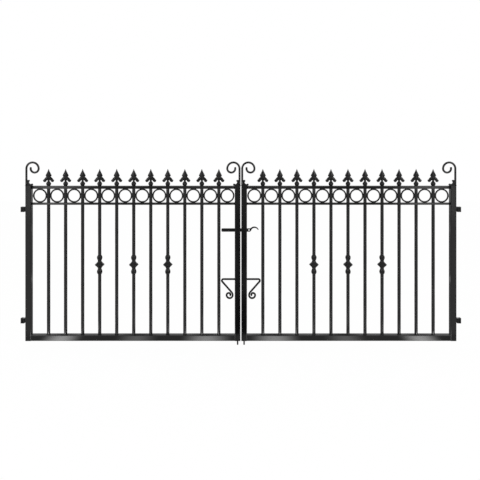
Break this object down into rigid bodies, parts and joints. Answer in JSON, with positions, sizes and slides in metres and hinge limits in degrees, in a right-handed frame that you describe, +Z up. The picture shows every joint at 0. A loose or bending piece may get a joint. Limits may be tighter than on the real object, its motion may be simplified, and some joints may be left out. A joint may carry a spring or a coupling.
{
  "type": "double driveway gate",
  "caption": "Double-leaf driveway gate of black painted steel with round bars, rings, collars, spearheads and scrolls, on weld-on hinges, with a slide latch and drop bolts.",
  "frame": {"origin": "centre of the weld face of the left lower hinge bracket; the feet of the leaves lie 138 mm below it", "axes": "+X along the gate to the right as seen from the street, +Y from the street into the drive, +Z up"},
  "size_m": [3.1, 0.0737, 1.3056],
  "materials": {
    "painted_frame": "gloss black paint",
    "painted_bars": "gloss black paint",
    "painted_castings": "satin black paint on cast ornaments",
    "painted_hardware": "black paint on hinges, bolts and latch",
    "pin_steel": "plain steel pin",
    "plug_plastic": "matt black"
  },
  "bodies": {
    "hinge_brackets": {"left_upper_bracket": "painted_hardware", "left_lower_bracket": "painted_hardware", "right_upper_bracket": "painted_hardware", "right_lower_bracket": "painted_hardware", "hinge_pins": "pin_steel"},
    "left_leaf": {"left_hinge_stile": "painted_frame", "left_meeting_stile": "painted_frame", "left_stile_plugs": "plug_plastic", "left_bottom_rail": "painted_frame", "left_top_rail": "painted_frame", "left_ring_rail": "painted_frame", "left_bars": "painted_bars", "left_rings": "painted_bars", "left_collars": "painted_castings", "left_spearheads": "painted_castings", "left_hinge_scroll": "painted_bars", "left_meeting_scroll": "painted_bars", "left_coves": "painted_castings", "left_hinge_eyes": "painted_hardware", "left_bolt_guides": "painted_hardware", "latch_keep": "painted_hardware"},
    "right_leaf": {"right_hinge_stile": "painted_frame", "right_meeting_stile": "painted_frame", "right_stile_plugs": "plug_plastic", "right_bottom_rail": "painted_frame", "right_top_rail": "painted_frame", "right_ring_rail": "painted_frame", "right_bars": "painted_bars", "right_rings": "painted_bars", "right_collars": "painted_castings", "right_spearheads": "painted_castings", "right_hinge_scroll": "painted_bars", "right_meeting_scroll": "painted_bars", "right_coves": "painted_castings", "right_hinge_eyes": "painted_hardware", "right_bolt_guides": "painted_hardware", "latch_guide": "painted_hardware"},
    "latch": {"latch_bar": "painted_hardware"},
    "left_bolt": {"left_drop_bolt": "painted_hardware"},
    "right_bolt": {"right_drop_bolt": "painted_hardware"}
  },
  "joints": [
    {"name": "left_leaf_swing", "type": "hinge", "parent": "hinge_brackets", "child": "left_leaf", "pos_m": [0.021, 0, 0], "axis": [0, 0, 1], "range_deg": [0, 90]},
    {"name": "right_leaf_swing", "type": "hinge", "parent": "hinge_brackets", "child": "right_leaf", "pos_m": [3.079, 0, 0], "axis": [0, 0, -1], "range_deg": [0, 90]},
    {"name": "latch_slide", "type": "slide", "parent": "right_leaf", "child": "latch", "axis": [1, 0, 0], "range_m": [0, 0.15]},
    {"name": "left_bolt_lift", "type": "slide", "parent": "left_leaf", "child": "left_bolt", "axis": [0, 0, 1], "range_m": [0, 0.1]},
    {"name": "right_bolt_lift", "type": "slide", "parent": "right_leaf", "child": "right_bolt", "axis": [0, 0, 1], "range_m": [0, 0.1]}
  ]
}
